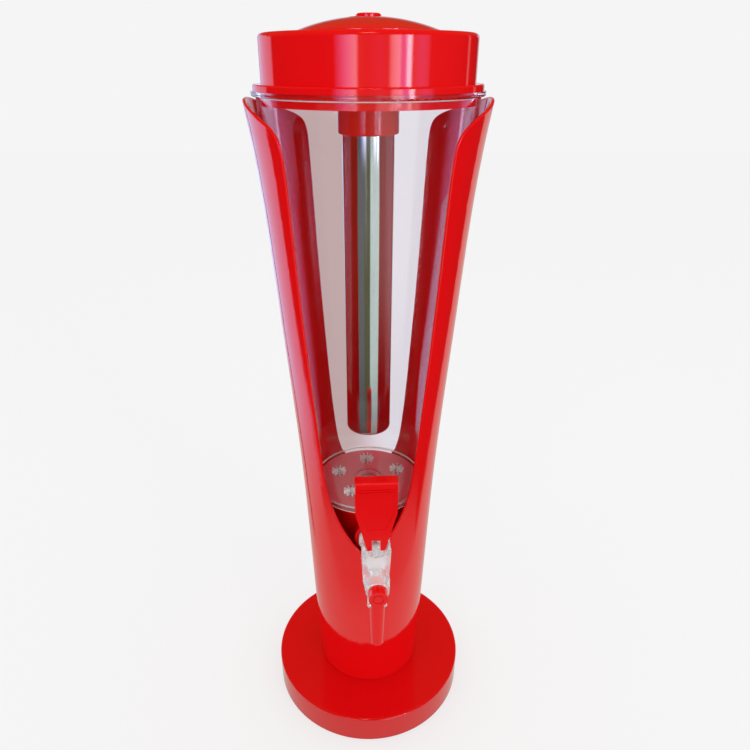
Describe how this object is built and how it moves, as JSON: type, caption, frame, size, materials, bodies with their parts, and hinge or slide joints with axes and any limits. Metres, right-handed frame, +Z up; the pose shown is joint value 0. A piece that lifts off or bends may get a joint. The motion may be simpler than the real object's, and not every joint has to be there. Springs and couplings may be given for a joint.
{
  "type": "beer tower dispenser",
  "caption": "Table-top drink tower: round weighted base, two-part red shell with tall windows, clear tapered vessel, lid with hanging steel ice tube, and a clear lever tap.",
  "frame": {"origin": "centre of the foot pad's underside, where the tower stands", "axes": "+Z up along the tower's axis, -Y to the front, towards the tap, +X to the right of someone who faces the tap"},
  "size_m": [0.192, 0.22, 0.6228],
  "materials": {
    "red_plastic": "glossy injection-moulded ABS",
    "clear_plastic": "clear polished plastic",
    "clear_tap_plastic": "clear thick-walled moulding",
    "white_plastic": "satin white nylon",
    "grey_plastic": "pale grey acetal",
    "black_plastic": "textured",
    "silicone": "translucent food-grade silicone",
    "polished_steel": "polished stainless steel tube",
    "screw_steel": "stainless",
    "weight_iron": "as cast, painted grey",
    "pad_foam": "closed-cell foam"
  },
  "bodies": {
    "stand": {"foot_pad": "pad_foam", "base_cover": "black_plastic", "base_screws": "screw_steel", "base_weight": "weight_iron", "base_disc": "red_plastic", "core_tube": "red_plastic", "core_screws": "screw_steel", "front_shell": "red_plastic", "rear_shell": "red_plastic", "seam_screws": "screw_steel", "vessel": "clear_plastic", "vessel_screws": "screw_steel", "vessel_gasket": "silicone", "outlet_sump": "white_plastic", "spigot_seal": "silicone", "tap_body": "clear_tap_plastic", "tap_gasket": "silicone", "tap_nut": "white_plastic", "tap_front_plug": "red_plastic", "tap_spout": "red_plastic", "tap_pins": "screw_steel", "valve_bonnet": "clear_tap_plastic"},
    "handle": {"tap_handle": "red_plastic"},
    "valve": {"valve_stem": "grey_plastic", "valve_plug": "silicone"},
    "lid": {"lid_cap": "red_plastic", "lid_knob": "red_plastic", "lid_screw": "screw_steel", "lid_liner": "red_plastic", "lid_seal": "silicone"},
    "ice_tube_unit": {"ice_tube": "polished_steel", "ice_tube_collar": "red_plastic", "ice_tube_seal": "silicone"}
  },
  "joints": [
    {"name": "tap_handle_pull", "type": "hinge", "parent": "stand", "child": "handle", "pos_m": [0.00608, -0.094, 0.2485], "axis": [0.9979, 0.0645, 0], "range_deg": [0, 35], "stiffness_Nm_per_rad": 0.6},
    {"name": "valve_lift", "type": "slide", "parent": "stand", "child": "valve", "axis": [0, 0, 1], "range_m": [0, 0.0043]},
    {"name": "lid_lift", "type": "slide", "parent": "stand", "child": "lid", "axis": [0, 0, 1], "range_m": [0, 0.36]},
    {"name": "ice_tube_release", "type": "slide", "parent": "lid", "child": "ice_tube_unit", "axis": [0, 0, -1], "range_m": [0, 0.04]}
  ],
  "couplings": [
    {"joint": "valve_lift", "follows": "tap_handle_pull", "m_per_rad": 0.0068}
  ]
}
